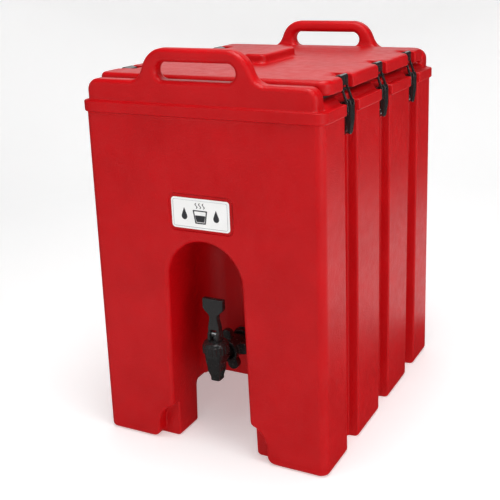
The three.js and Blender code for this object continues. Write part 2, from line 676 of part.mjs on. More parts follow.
function wingNut() {
  const y0 = -194;
  const y1 = -160;
  const parts = [rod('y', y0, y1, 0, SHANK_Z, 18.5, 20)];
  for (let i = 0; i < 4; i += 1) {
    const wing = new THREE.Shape();
    wing.moveTo(8, -7);
    wing.lineTo(22, -8.5);
    wing.absarc(25, 0, 10, -1.1, 1.1);
    wing.lineTo(22, 8.5);
    wing.lineTo(8, 7);
    const lobe = prismY(wing, y0 + 8, y0 + 20).rotate([0, -(-12 + 90 * i), 0]);
    parts.push(lobe.translate([0, 0, SHANK_Z]));
  }
  return cut(
    union(...parts),
    rod('y', -181.4, y1 + 5, 0, SHANK_Z, SHANK_R + GAP, 20),
    rod('y', y0 - 5, -180, 0, SHANK_Z, 10.4, 20),
  );
}

function shank() {
  const tube = rod('y', -175, -87, 0, SHANK_Z, SHANK_R, 20);
  const flange = rod('y', -90.9, -86, 0, SHANK_Z, 22, 20);
  return cut(union(tube, flange), rod('y', -180, -80, 0, SHANK_Z, BORE_R, 20));
}

function ring(y0, y1, outer, segments = 20) {
  return cut(
    rod('y', y0, y1, 0, SHANK_Z, outer, segments),
    rod('y', y0 - 1, y1 + 1, 0, SHANK_Z, SHANK_R + GAP, 20),
  );
}

// ---------------------------------------------------------------- assembly
add('body_shell', bodyShell(), shellMaterial);
add('body_foam_port_plug', portPlug(BODY_PORT, BASE_Z), shellMaterial);
add('label_plate', labelPlate(), labelMaterial);

add('lid_shell', lidShell(), shellMaterial);
add('lid_foam', lidFoamSpace(GAP), foamMaterial);
add('lid_foam_port_plug', portPlug(LID_PORT, PLUG_Z0), shellMaterial);
add('lid_gasket', lidGasket(), rubberMaterial);
add('vent_cap', ventCap(), nylonMaterial);
add('vent_seal', ventSeal(), siliconeMaterial);

GROOVE_Y.forEach((y, i) => addLatch(`right_${i + 1}`, y, 0));
GROOVE_Y.forEach((y, i) => addLatch(`left_${i + 1}`, -y, Math.PI));

add('spigot_shank', shank(), nylonMaterial);
add('shank_inner_gasket', ring(TUB_FRONT_Y + GAP, -91.2, 21), siliconeMaterial);
add('shank_outer_washer', ring(-136.2, NICHE_BACK_Y - GAP, 20), rubberMaterial);
add('shank_lock_nut', ring(-146, -136.5, 21, 6), nylonMaterial);
add('spigot_wing_nut', wingNut(), nylonMaterial);
add('valve_body', valveBody(), nylonMaterial);
add('bonnet_cap', bonnetCap(), nylonMaterial);
add('valve_stem', valveStem(), steelMaterial);
add('seat_cup', seatCup(), siliconeMaterial);
add('spigot_handle', spigotHandle(), nylonMaterial);
add('handle_pin', rod('x', -10.2, 10.2, SPIGOT_Y, HANDLE_PIN_Z, HANDLE_PIN_R, 16), steelMaterial);

export default root;
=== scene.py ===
# Looks of the insulated beverage carrier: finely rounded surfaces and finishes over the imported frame.
# Shapes are signed distance functions in millimetres, meshed here and placed in metres.

import json
import math

import bpy
import numpy as np
from mathutils import Matrix, Vector


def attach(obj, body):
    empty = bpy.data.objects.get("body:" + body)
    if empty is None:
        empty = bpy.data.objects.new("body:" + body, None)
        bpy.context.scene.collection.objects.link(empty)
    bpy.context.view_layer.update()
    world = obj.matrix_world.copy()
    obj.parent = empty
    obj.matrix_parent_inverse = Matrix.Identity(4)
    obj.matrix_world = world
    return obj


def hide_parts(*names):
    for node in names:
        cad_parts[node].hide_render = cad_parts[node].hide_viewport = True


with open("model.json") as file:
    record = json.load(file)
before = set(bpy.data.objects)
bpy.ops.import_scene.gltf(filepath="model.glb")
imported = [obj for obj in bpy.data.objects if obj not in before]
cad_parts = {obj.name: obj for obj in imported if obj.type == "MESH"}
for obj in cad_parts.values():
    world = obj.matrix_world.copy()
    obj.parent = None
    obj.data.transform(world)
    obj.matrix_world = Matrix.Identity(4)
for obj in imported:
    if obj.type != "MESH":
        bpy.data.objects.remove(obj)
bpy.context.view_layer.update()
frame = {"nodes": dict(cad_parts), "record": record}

MM = 0.001

# ---------------------------------------------------------------- driving dimensions, millimetres
BODY_HALF = (200.0, 250.0)
FLOOR_GROWTH = (2.0, 7.0)          # how much further out the floor is than the shoulder
SHOULDER_Z = 545.0
CORNER_R = 14.0
FOOT_EDGE = 8.0
BAND_HALF = (204.0, 254.0)
BAND_TOP = 562.0
BAND_EDGE_R = 1.8
BOX_TOP = 556.0
RIM_Z = 571.0
RIM_HALF_X = 186.0
RIM_FOOT_X = 194.0
RIM_HALF_Y = 230.0
RIM_ROOT_Z = 550.0

WALL_HALF_X = 192.0
WALL_MID_Y = 236.0
WALL_HALF_T = 14.0
WALL_TOP = 595.0
WALL_ROOT_Z = 540.0
WALL_R = 18.0
HANDLE_TOP = 643.0
HANDLE_ROOT_Z = 590.0
HANDLE_HALF_X = 92.0
HANDLE_R = 40.0
HANDLE_FILLET = 22.0
HANDLE_THINNING = 2.0
HANDLE_EDGE_R = 8.0
GRIP_HALF = (66.0, 13.0)
GRIP_R = 12.9
GRIP_Z = 610.0

GROOVE_Y = (-146.0, 0.0, 146.0)
GROOVE_X = 184.0
GROOVE_HALF = 22.0
GROOVE_DRAFT = 0.14
GROOVE_LIP = 2.6

NICHE_HALF = 65.0
NICHE_DRAFT = 0.024
NICHE_SPRING_Z = 290.0
NICHE_BACK_Y = -134.0
NICHE_CORNER = 38.0
NICHE_LIP = 7.0

BASE_Z = 79.0
BASE_HALF = (152.0, 178.0)
BASE_R = 22.0
NOTCH_HALF = 100.0
NOTCH_TOP = 66.0
NOTCH_R = 40.0
NOTCH_FLARE = 18.0
NOTCH_Y = 236.0

TUB_HALF = (158.0, 206.0)
TUB_FRONT_Y = -94.0
TUB_FLOOR = 122.0
TUB_SHELF_Z = 382.0
TUB_SHELF_SLOPE = 0.25
TUB_R = 34.0
TUB_FLOOR_R = 17.0

LABEL_Z = 400.0
LABEL_HALF = (50.0, 24.0)
LABEL_RECESS = (55.0, 29.0)
LABEL_R = 5.5
LABEL_RECESS_R = 9.0
LABEL_FLOOR_Y = -250.3
PICTOGRAM_SCALE = 1.25

LID_HALF = (196.0, 216.0)
LID_Z = (579.0, 600.0)
LID_R = 18.0
LID_EDGE_R = 8.0
PLUG_HALF = (154.5, 202.5)
PLUG_R = 30.0
PLUG_Z = 555.0
LEDGE_X = 183.5
LEDGE_HALF_Y = 20.0
RAMP_X = 161.0
RAMP_FALL = 0.43
RAMP_FLOOR_Z = 594.4
RIDGE_HALF = (20.0, 60.0)
RIDGE_R = 10.0
RIDGE_Y = -4.0
RIDGE_TOP = 615.0
VENT = (-100.0, -42.0)
VENT_R = 13.0
VENT_SEAT_R = 16.0
VENT_SEAT_Z = 595.0

SPIGOT_Y = -227.0
SPOUT_BORE_R = 6.0
CHAMBER_R = 11.5
CHAMBER_FLOOR = 138.0
SPOUT_BORE_TOP = 137.5
VALVE_NECK_R = 14.4
CAP_R = 21.4
CAP_TEETH = 20
STEM_HOLE_R = 4.0
HANDLE_PIN_Z = 195.0
HANDLE_PIN_HOLE_R = 2.07
HEEL_HALF_W = 10.3
FORK_SLOT_HALF_W = 5.4
FORK_SLOT_TOP = 204.0

SHANK_Z = 150.0
SHANK_R = 13.3
SHANK_BORE_R = 10.4
THREAD_PITCH = 2.6
FLANGE_R = 22.0
NUT_HOLE_R = 14.1
WING_NUT_R = 18.5
WINGS = 4
LOCK_NUT_Y = -141.2


# ---------------------------------------------------------------- distance functions
def rect(a, b, half_a, half_b, r):
    """Rounded rectangle centred on the origin of the plane (a, b)."""
    qa = np.abs(a) - half_a + r
    qb = np.abs(b) - half_b + r
    outside = np.hypot(np.maximum(qa, 0), np.maximum(qb, 0))
    return outside + np.minimum(np.maximum(qa, qb), 0) - r


def polygon(a, b, points, r=0.0):
    """Polygon of (a, b) corners, grown by r with round corners."""
    d = None
    sign = 1.0
    for (x0, y0), (x1, y1) in zip(points, points[-1:] + points[:-1]):
        ex, ey = x1 - x0, y1 - y0
        wx, wy = a - x0, b - y0
        t = np.clip((wx * ex + wy * ey) / (ex * ex + ey * ey), 0, 1)
        near = (wx - ex * t) ** 2 + (wy - ey * t) ** 2
        d = near if d is None else np.minimum(d, near)
        above, below = b >= y0, b < y1
        left = ex * wy > ey * wx
        flips = (above & below & left) | (~above & ~below & ~left)
        sign = sign * np.where(flips, -1.0, 1.0)
    return sign * np.sqrt(d) - r


def join(a, b, r):
    """Union with a hollow fillet of radius r."""
    inner = np.hypot(np.maximum(r - a, 0), np.maximum(r - b, 0))
    return np.maximum(r, np.minimum(a, b)) - inner


def meet(a, b, r):
    """Intersection with an edge rounded to radius r."""
    outer = np.hypot(np.maximum(r + a, 0), np.maximum(r + b, 0))
    return np.minimum(-r, np.maximum(a, b)) + outer


def carve(a, b, r):
    """a without b, with the mouth rounded to radius r."""
    return meet(a, -b, r)


def rod(a, b, r):
    return np.hypot(a, b) - r


def smooth(edge0, edge1, value):
    t = np.clip((value - edge0) / (edge1 - edge0), 0, 1)
    return t * t * (3 - 2 * t)


# ---------------------------------------------------------------- meshing
def spread(low, high, coarse, fine):
    """Grid lines from low to high: coarse steps, and a zone's own step inside (start, end, step)."""
    lines = [low]
    while lines[-1] < high:
        x = lines[-1]
        step = coarse
        for start, end, zone_step in fine:
            if start <= x < end:
                step = min(step, zone_step)
            elif x < start:
                step = min(step, max(start - x, zone_step * 0.5))
        lines.append(x + step)
    return np.array(lines)


def mirrored(high, coarse, fine):
    half = spread(0.0, high, coarse, fine)
    return np.concatenate([-half[:0:-1], half])


def cell_points(d, axes):
    """Mean crossing point of every cell that the surface passes through, and each such cell's number."""
    shape = tuple(n - 1 for n in d.shape)
    total = np.zeros(shape + (3,))
    count = np.zeros(shape)
    for axis in range(3):
        lo = [slice(None)] * 3
        hi = [slice(None)] * 3
        lo[axis], hi[axis] = slice(0, -1), slice(1, None)
        d0, d1 = d[tuple(lo)], d[tuple(hi)]
        crossed = np.argwhere((d0 < 0) != (d1 < 0))
        i, j, k = crossed.T
        t = d0[i, j, k] / (d0[i, j, k] - d1[i, j, k])
        point = np.stack([axes[n][crossed[:, n]] for n in range(3)], axis=1)
        line = axes[axis]
        point[:, axis] += t * (line[crossed[:, axis] + 1] - line[crossed[:, axis]])
        u, v = [n for n in range(3) if n != axis]
        for du in (0, -1):
            for dv in (0, -1):
                cell = crossed.copy()
                cell[:, u] += du
                cell[:, v] += dv
                inside = np.all((cell >= 0) & (cell < shape), axis=1)
                where = tuple(cell[inside].T)
                np.add.at(total, where, point[inside])
                np.add.at(count, where, 1)
    used = count > 0
    number = np.full(shape, -1)
    number[used] = np.arange(int(used.sum()))
    return total[used] / count[used][:, None], number


def cell_faces(d, number):
    """One quad around every grid edge that the surface crosses."""
    faces = []
    for axis in range(3):
        lo = [slice(1, -1)] * 3
        hi = [slice(1, -1)] * 3
        lo[axis], hi[axis] = slice(0, -1), slice(1, None)
        d0, d1 = d[tuple(lo)], d[tuple(hi)]
        crossed = np.argwhere((d0 < 0) != (d1 < 0))
        rising = (d0 < 0)[tuple(crossed.T)]
        base = crossed + 1
        base[:, axis] -= 1
        u, v = (axis + 1) % 3, (axis + 2) % 3
        corners = []
        for du, dv in ((-1, -1), (0, -1), (0, 0), (-1, 0)):
            cell = base.copy()
            cell[:, u] += du
            cell[:, v] += dv
            corners.append(number[tuple(cell.T)])
        quad = np.stack(corners, axis=1)
        quad[~rising] = quad[~rising][:, ::-1]
        faces.append(quad)
    return np.concatenate(faces)


def slope_of(shape, p, h=0.04):
    steps = np.eye(3) * h
    return np.stack([(shape(*(p + s).T) - shape(*(p - s).T)) / (2 * h) for s in steps], axis=1)


def settle(shape, p, reach, rounds=4):
    """Moves points onto the surface, none by more than reach."""
    start = p.copy()
    for _ in range(rounds):
        g = slope_of(shape, p)
        size = np.maximum((g * g).sum(axis=1), 0.05)
        p = p - g * (shape(*p.T) / size)[:, None]
        move = p - start
        length = np.maximum(np.linalg.norm(move, axis=1), 1e-9)
        p = start + move * np.minimum(1, reach / length)[:, None]
    return p


def sculpt(name, shape, axes, reach=None):
    """A closed mesh of shape(x, y, z) < 0 on the grid lines axes, with the shape's own normals."""
    d = shape(*np.meshgrid(*axes, indexing="ij", sparse=True))
    d = np.broadcast_to(d, tuple(len(a) for a in axes))
    points, number = cell_points(d, axes)
    faces = cell_faces(d, number)
    step = min(float(np.diff(a).min()) for a in axes)
    points = settle(shape, points, reach or 1.2 * step)
    normals = slope_of(shape, points)
    normals /= np.maximum(np.linalg.norm(normals, axis=1), 1e-9)[:, None]
    mesh = bpy.data.meshes.new(name)
    mesh.from_pydata((points * MM).tolist(), [], faces.tolist())
    mesh.polygons.foreach_set("use_smooth", np.ones(len(faces), dtype=bool))
    mesh.normals_split_custom_set_from_vertices(normals.tolist())
    mesh.validate()
    return mesh


def place(name, mesh, body, material, slot, *nodes):
    piece = bpy.data.objects.new(name, mesh)
    bpy.context.scene.collection.objects.link(piece)
    if not mesh.materials:
        mesh.materials.append(material)
    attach(piece, body)
    if nodes:
        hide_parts(*nodes)
    return piece


# ---------------------------------------------------------------- body
def end_wall(x, y, z):
    """Front and rear upstand with its loop handle."""
    wall = rect(x, z - WALL_ROOT_Z, WALL_HALF_X, WALL_TOP - WALL_ROOT_Z, WALL_R)
    wall = np.maximum(wall, BOX_TOP - z)
    loop = rect(x, z - HANDLE_ROOT_Z, HANDLE_HALF_X, HANDLE_TOP - HANDLE_ROOT_Z, HANDLE_R)
    outline = join(wall, loop, HANDLE_FILLET)
    thin = HANDLE_THINNING * smooth(588, 606, z)
    thickness = np.abs(np.abs(y) - WALL_MID_Y - thin) - WALL_HALF_T + thin
    grip = rect(x, z - GRIP_Z, *GRIP_HALF, GRIP_R)
    return carve(meet(outline, thickness, HANDLE_EDGE_R), grip, HANDLE_EDGE_R)


def tub(x, y, z):
    """The inside: a deep tub behind the niche and a sloped shelf over it."""
    middle = (TUB_FRONT_Y + TUB_HALF[1]) / 2
    low = rect(x, y - middle, TUB_HALF[0], (TUB_HALF[1] - TUB_FRONT_Y) / 2, TUB_R)
    low = meet(low, TUB_FLOOR - z, TUB_FLOOR_R)
    shelf = TUB_SHELF_Z + TUB_SHELF_SLOPE * (TUB_FRONT_Y - y) - z
    high = meet(rect(x, y, *TUB_HALF, TUB_R), shelf, TUB_FLOOR_R)
    return np.minimum(low, high)


def niche(x, y, z):
    """The arched room in front of the spigot, open at the foot."""
    half = NICHE_HALF + NICHE_DRAFT * (NICHE_SPRING_Z - z)
    arch = np.where(z > NICHE_SPRING_Z, np.hypot(x, z - NICHE_SPRING_Z) - NICHE_HALF, np.abs(x) - half)
    return meet(arch, y - NICHE_BACK_Y, NICHE_CORNER)


def groove(x, y, z, centre):
    """A full-height channel in each side that a latch sits in."""
    depth = np.abs(x) - GROOVE_X
    side = (np.abs(y - centre) - GROOVE_HALF - GROOVE_DRAFT * depth) / math.hypot(1, GROOVE_DRAFT)
    return meet(side, -depth, 3)


def stacking_notch(x, y, z):
    """Cut in the front and rear foot that goes over the handle of a carrier below."""
    outline = join(rect(x, z + 100, NOTCH_HALF, NOTCH_TOP + 100, NOTCH_R), z, NOTCH_FLARE)
    return meet(outline, NOTCH_Y - np.abs(y), 3)


def body(x, y, z):
    low = np.maximum(SHOULDER_Z - z, 0) / SHOULDER_Z      # 0 at the shoulder, 1 at the floor
    half_x = BODY_HALF[0] + FLOOR_GROWTH[0] * low
    half_y = BODY_HALF[1] + FLOOR_GROWTH[1] * low
    sides = rect(x, y, half_x, half_y, CORNER_R)
    box = np.maximum(meet(sides, -z, FOOT_EDGE), z - BOX_TOP)
    middle = (SHOULDER_Z + BAND_TOP) / 2
    band_height = np.abs(z - middle) - (BAND_TOP - middle)
    band = meet(rect(x, y, *BAND_HALF, CORNER_R + 4), band_height, BAND_EDGE_R)
    run, rise = RIM_FOOT_X - RIM_HALF_X, RIM_Z - BAND_TOP
    slope = ((np.abs(x) - RIM_HALF_X) * rise + (z - RIM_Z) * run) / math.hypot(run, rise)
    rim = np.maximum(meet(slope, z - RIM_Z, 4), np.abs(x) - RIM_FOOT_X - 4)
    rim = np.maximum(rim, np.maximum(np.abs(y) - RIM_HALF_Y, RIM_ROOT_Z - z))
    whole = join(join(box, band, 1.2), rim, 1)
    whole = join(whole, end_wall(x, y, z), 3)
    whole = carve(whole, tub(x, y, z), 4)
    whole = carve(whole, niche(x, y, z), NICHE_LIP)
    whole = carve(whole, meet(rect(x, y, *BASE_HALF, BASE_R), z - BASE_Z, 8), 4)
    whole = carve(whole, stacking_notch(x, y, z), 3)
    for centre in GROOVE_Y:
        whole = carve(whole, groove(x, y, z, centre), GROOVE_LIP)
    recess = np.maximum(rect(x, z - LABEL_Z, *LABEL_RECESS, LABEL_RECESS_R), y - LABEL_FLOOR_Y)
    return carve(whole, recess, 0.4)


def body_axes():
    xs = mirrored(212, 11, [(46, 57, 1.7), (57, 78, 4), (90, 120, 4.5), (148, 162, 4), (178, 208, 2.5)])
    ribs = [(c - 28, c - 20, 1.4) for c in GROOVE_Y] + [(c + 20, c + 28, 1.4) for c in GROOVE_Y]
    ys = spread(-264, 264, 11, ribs + [(-262, -218, 2.5), (218, 262, 2.5), (-150, -90, 4.5)])
    zs = spread(-6, 652, 15, [
        (-6, 12, 2.5), (12, 90, 5), (112, 142, 6), (285, 362, 4), (369, 380, 1.7),
        (380, 420, 9), (420, 431, 1.7), (540, 650, 2.7),
    ])
    return xs, ys, zs


# ---------------------------------------------------------------- lid
def lid(x, y, z):
    """Slab, plug, raised block, and a ledge and a ramp for each hook."""
    slab = meet(rect(x, y, *LID_HALF, LID_R), z - LID_Z[1], LID_EDGE_R)
    slab = meet(slab, LID_Z[0] - z, 3)
    plug = meet(rect(x, y, *PLUG_HALF, PLUG_R), PLUG_Z - z, 6)
    plug = np.maximum(plug, z - 585)
    ridge = meet(rect(x, y - RIDGE_Y, *RIDGE_HALF, RIDGE_R), z - RIDGE_TOP, 5)
    ridge = np.maximum(ridge, 590 - z)
    whole = join(join(slab, plug, 3), ridge, 6)
    for centre in GROOVE_Y:
        across = np.abs(y - centre)
        slot_cut = meet(across - LEDGE_HALF_Y, LEDGE_X - np.abs(x), 2)
        whole = carve(whole, slot_cut, 2.5)
        fall = ((np.abs(x) - RAMP_X) * RAMP_FALL + z - LID_Z[1]) / math.hypot(1, RAMP_FALL)
        fall = np.maximum(fall, RAMP_FLOOR_Z - z)
        whole = carve(whole, meet(across - LEDGE_HALF_Y + 4, -fall, 1.5), 1.2)
    seat = np.maximum(rod(x - VENT[0], y - VENT[1], VENT_SEAT_R), VENT_SEAT_Z - z)
    return carve(whole, seat, 1.5)


def lid_axes():
    xs = mirrored(200, 8, [(12, 32, 2.5), (158, 198, 2)])
    steps = [(c - 25, c - 14, 1.5) for c in GROOVE_Y] + [(c + 14, c + 25, 1.5) for c in GROOVE_Y]
    ys = spread(-220, 220, 8, steps + [(-218, -204, 2), (204, 218, 2), (-68, -56, 2), (48, 60, 2)])
    xs = np.unique(np.concatenate([xs, np.arange(VENT[0] - 20, VENT[0] + 21, 2.5)]))
    ys = np.unique(np.concatenate([ys, np.arange(VENT[1] - 20, VENT[1] + 21, 2.5)]))
    zs = spread(550, 620, 4, [(552, 562, 2), (576, 618, 1.5)])
    return xs, ys, zs


# ---------------------------------------------------------------- latch, drawn on the right at y = 0
PIVOT = (197.5, 560.0)
LINK_PIVOT = (197.0, 547.0)
PIN_HOLE_R = 2.03
LATCH_BASE_HALF = (20.5, 24.5)
LATCH_BASE_Z = 536.5
LEVER_TIP_Z = 514.0
LEVER_HALF_W = 7.5
LEVER_CHANNEL_HALF_W = 5.4
LINK_HALF_W = 12.2
LINK_WINDOW_HALF_W = 9.3
LINK_WINDOW_TOP = 585.0
SCREW_R = 4.6
SCREW_SEAT_X = 189.3
SCREWS = ((-9.0, 520.0), (9.0, 520.0))


def latch_base(x, y, z):
    """Base plate with two ears for the lever pin."""
    plate = meet(rect(y, z - LATCH_BASE_Z, *LATCH_BASE_HALF, 5), np.abs(x - 186.8) - 2.5, 0.8)
    arm = [(187, 551), (194.5, 556.3), (197.5, 556.2), (201.3, 560), (197.5, 563.8), (187, 560.8)]
    ears = meet(polygon(x, z, arm, 0.1), np.abs(np.abs(y) - 3.7) - 1.3, 0.5)
    whole = join(plate, ears, 0.8)
    return carve(whole, rod(x - PIVOT[0], z - PIVOT[1], PIN_HOLE_R), 0.15)


def latch_lever(x, y, z):
    """A channel that is open toward the carrier, with a round tip."""
    ax, az = PIVOT
    side = [
        (ax - 3.8, az - 12), (ax - 0.2, LEVER_TIP_Z + 1), (ax + 1.6, LEVER_TIP_Z + 1),
        (ax + 4.4, az - 24), (ax + 4.4, az - 1), (ax + 3.6, az + 3), (ax + 1.6, az + 5),
        (ax - 2, az + 4.6), (ax - 4.8, az + 1.4),
    ]
    outline = polygon(x, z, side, 1.0)
    taper = smooth(az - 16, LEVER_TIP_Z, z)
    width = np.abs(y) - LEVER_HALF_W + 1.2 * taper
    tip = meet(width, LEVER_TIP_Z - z, 5)
    block = meet(outline, tip, 1.1)
    inner = [
        (ax - 20, az + 20), (ax - 20, LEVER_TIP_Z + 6), (ax, LEVER_TIP_Z + 6),
        (ax + 3.3, az - 24), (ax + 3.3, az - 2), (ax + 20, az - 2), (ax + 20, az + 20),
    ]
    channel = meet(polygon(x, z, inner), np.abs(y) - LEVER_CHANNEL_HALF_W + 1.1 * taper, 0.6)
    whole = carve(block, channel, 0.4)
    for px, pz in (PIVOT, LINK_PIVOT):
        whole = carve(whole, rod(x - px, z - pz, PIN_HOLE_R), 0.15)
    return whole


def latch_link(x, y, z):
    """A windowed strap bent over the ledge of the lid."""
    bx, bz = LINK_PIVOT
    strap = [
        (bx - 2, bz - 2.6), (bx + 2, bz - 2.6), (bx + 3, bz), (bx + 1.7, bz + 15),
        (190.4, 583.2), (190.4, 596.8), (189.2, 599.2), (186.6, 600.1),
        (177.6, 597.7), (177.2, 596.6), (178, 595.9), (186.9, 595.9),
        (188.2, 593.8), (188.2, 583), (bx - 1.7, bz + 15), (bx - 3, bz),
    ]
    outline = polygon(x, z, strap, 0.6)
    whole = meet(outline, np.abs(y) - LINK_HALF_W, 0.9)
    window = meet(np.abs(y) - LINK_WINDOW_HALF_W, z - LINK_WINDOW_TOP, 1.5)
    whole = carve(whole, window, 0.5)
    return carve(whole, rod(x - bx, z - bz, PIN_HOLE_R), 0.15)


def screw_head(x, y, z):
    """Pan head with a cross slot, its base on x = 0 and its axis along X."""
    ball = np.sqrt((x + 5.2) ** 2 + y * y + z * z) - 8.0
    head = meet(meet(rod(y, z, SCREW_R), ball, 0.5), -x, 0.1)
    cross = np.minimum(rect(y, z, 2.9, 0.45, 0.1), rect(y, z, 0.45, 2.9, 0.1))
    return carve(head, np.maximum(cross, 1.2 - x), 0.1)


# ---------------------------------------------------------------- spigot
def valve_body(x, y, z):
    """Tapered spout, chamber, neck for the cap and the tail into the shank."""
    v = y - SPIGOT_Y
    foot = smooth(121, 137, z)
    shoulder = smooth(137, 157, z)
    half_x = 8.5 + 3.5 * foot + 2.0 * shoulder
    half_y = 9.5 + 3.3 * foot + 2.0 * shoulder
    spout = meet(rect(x, v, half_x, half_y, 4.5), np.abs(z - 138) - 21, 1.2)
    deck = meet(rect(x, v, 15.5, 15.5, 8), np.abs(z - 161.5) - 3.5, 1)
    neck = np.maximum(rod(x, v, VALVE_NECK_R), np.abs(z - 168) - 6)
    tail = np.maximum(rod(x, z - SHANK_Z, 10), np.abs(y + 196) - 20.6)
    whole = join(join(spout, deck, 1.5), tail, 3)
    whole = np.minimum(whole, neck)
    mouth = np.maximum(rod(x, v, SPOUT_BORE_R), z - SPOUT_BORE_TOP)
    chamber = np.maximum(rod(x, v, CHAMBER_R), CHAMBER_FLOOR - z)
    return carve(carve(whole, mouth, 0.8), chamber, 0.5)


def bonnet_cap(x, y, z):
    """Cap with a serrated skirt and a hole for the stem."""
    v = y - SPIGOT_Y
    turn = np.arctan2(v, x)
    tooth = np.abs(np.mod(turn * CAP_TEETH / (2 * math.pi), 1.0) - 0.5) * 2
    r = np.hypot(x, v)
    skirt = meet(r - CAP_R + 1.5 * smooth(0.15, 0.75, tooth), np.abs(z - 172) - 6.7, 0.8)
    dome = meet(r - 19.5, (z - 186 + (r - 12) * 0.42) / 1.08, 2)
    dome = meet(np.maximum(dome, 170 - z), z - 186, 1)
    whole = join(skirt, dome, 1.2)
    cavity = np.maximum(r - 14.8, z - 176.4)
    return carve(carve(whole, cavity, 0.4), r - STEM_HOLE_R, 0.6)


def spigot_handle(x, y, z):
    """T-shaped paddle on a slotted heel."""
    v = y - SPIGOT_Y
    across = np.abs(x)
    arc = smooth(206, 224, z)
    flare = smooth(226, 241, z)
    half = HEEL_HALF_W - 2.9 * arc + 11.2 * flare
    blade = meet(across - half, np.abs(z - 221.2) - 34.9, 1.5)
    thick = 6.0 - 1.2 * smooth(200, 256, z)
    paddle = meet(blade, np.abs(v) - thick, 2)
    heel = meet(meet(across - HEEL_HALF_W, np.abs(v) - 9, 2.5), np.abs(z - 192.3) - 6, 1)
    whole = join(paddle, heel, 3)
    slot = meet(across - FORK_SLOT_HALF_W, z - FORK_SLOT_TOP, 2)
    return carve(carve(whole, slot, 0.6), rod(v, z - HANDLE_PIN_Z, HANDLE_PIN_HOLE_R), 0.2)


def wing_nut(x, y, z):
    """Round nut with flat lobes."""
    w = z - SHANK_Z
    along = y + 177
    whole = meet(rod(x, w, WING_NUT_R), np.abs(along) - 17, 1.5)
    for i in range(WINGS):
        turn = math.radians(360 / WINGS * i - 12)
        a = x * math.cos(turn) - w * math.sin(turn)
        b = x * math.sin(turn) + w * math.cos(turn)
        lobe = np.hypot(a - 25.5, b * 0.95) - 9.4
        neck = rect(a - 14, b, 12, 7.2, 2)
        wing = meet(join(lobe, neck, 4), np.abs(along + 3) - 6.2, 2.5)
        whole = join(whole, wing, 2.5)
    return carve(whole, rod(x, w, NUT_HOLE_R), 1.0)


def shank(x, y, z):
    """Threaded tube with its flange inside the tub."""
    w = z - SHANK_Z
    r = np.hypot(x, w)
    phase = np.mod(y / THREAD_PITCH + np.arctan2(w, x) / (2 * math.pi), 1.0)
    thread = 0.35 * (np.abs(phase - 0.5) * 4 - 1)
    tube = np.maximum(r - SHANK_R - 0.6 * thread, np.abs(y + 131) - 44)
    flange = meet(r - FLANGE_R, np.abs(y + 88.5) - 2.4, 1)
    return carve(join(tube, flange, 1), r - SHANK_BORE_R, 0.5)


def lock_nut(x, y, z):
    """Hexagon nut, chamfered at both ends."""
    w = z - SHANK_Z
    slants = np.maximum(np.abs(x * 0.866 + w * 0.5), np.abs(x * 0.866 - w * 0.5))
    across = np.maximum(np.abs(w), slants)
    along = np.abs(y - LOCK_NUT_Y)
    chamfer = (np.hypot(x, w) - 21 + along * 0.6) / 1.17
    ring = meet(meet(across - 18.2, chamfer, 0.5), along - 4.7, 0.6)
    return carve(ring, rod(x, w, NUT_HOLE_R), 0.5)


def vent_cap(x, y, z):
    """Round head with a grip bar, on a stem."""
    a, b = x - VENT[0], y - VENT[1]
    head = meet(rod(a, b, VENT_R), np.abs(z - 600.5) - 2.5, 1.5)
    grip = meet(meet(np.abs(a) - 12, np.abs(b) - 2.9, 1.6), z - 608, 1.2)
    grip = np.maximum(grip, 601 - z)
    stem = np.maximum(rod(a, b, 5.6), np.abs(z - 591) - 9)
    return np.minimum(join(head, grip, 1.5), stem)


# ---------------------------------------------------------------- label
def label_plate(x, y, z):
    return meet(rect(x, z - LABEL_Z, *LABEL_HALF, LABEL_R), np.abs(y - LABEL_FLOOR_Y + 1.0) - 0.7, 0.35)


# ---------------------------------------------------------------- finishes
def new_material(name, colour, roughness, metallic=0.0):
    material = bpy.data.materials.new(name)
    material.use_nodes = True
    material.diffuse_color = (*colour, 1)
    shader = material.node_tree.nodes["Principled BSDF"]
    shader.inputs["Base Color"].default_value = (*colour, 1)
    shader.inputs["Roughness"].default_value = roughness
    shader.inputs["Metallic"].default_value = metallic
    return material, material.node_tree, shader


def feed(tree, value, shader, socket):
    tree.links.new(value, shader.inputs[socket])


def noise(tree, scale, detail=3.0, stretch=None):
    """Noise in object space, so its grain keeps its real size; scale is in cells a metre."""
    source = tree.nodes.new("ShaderNodeTexCoord").outputs["Object"]
    if stretch:
        mapping = tree.nodes.new("ShaderNodeMapping")
        mapping.inputs["Scale"].default_value = stretch
        tree.links.new(source, mapping.inputs["Vector"])
        source = mapping.outputs["Vector"]
    made = tree.nodes.new("ShaderNodeTexNoise")
    made.inputs["Scale"].default_value = scale
    made.inputs["Detail"].default_value = detail
    tree.links.new(source, made.inputs["Vector"])
    return made.outputs["Fac"]


def ramp(tree, value, low, high, out_low, out_high):
    """Maps the range low to high onto out_low to out_high."""
    made = tree.nodes.new("ShaderNodeMapRange")
    for key, number in zip(("From Min", "From Max", "To Min", "To Max"), (low, high, out_low, out_high)):
        made.inputs[key].default_value = number
    tree.links.new(value, made.inputs["Value"])
    return made.outputs["Result"]


def tint(tree, value, colour_a, colour_b):
    """A colour between two, by value."""
    made = tree.nodes.new("ShaderNodeMix")
    made.data_type = "RGBA"
    made.inputs["A"].default_value = (*colour_a, 1)
    made.inputs["B"].default_value = (*colour_b, 1)
    tree.links.new(value, made.inputs["Factor"])
    return made.outputs["Result"]


def bump(tree, shader, layers):
    """Stacks bumps, each (height socket, depth in metres, strength)."""
    below = None
    for height, depth, strength in layers:
        made = tree.nodes.new("ShaderNodeBump")
        made.inputs["Distance"].default_value = depth
        made.inputs["Strength"].default_value = strength
        tree.links.new(height, made.inputs["Height"])
        if below:
            tree.links.new(below, made.inputs["Normal"])
        below = made.outputs["Normal"]
    feed(tree, below, shader, "Normal")


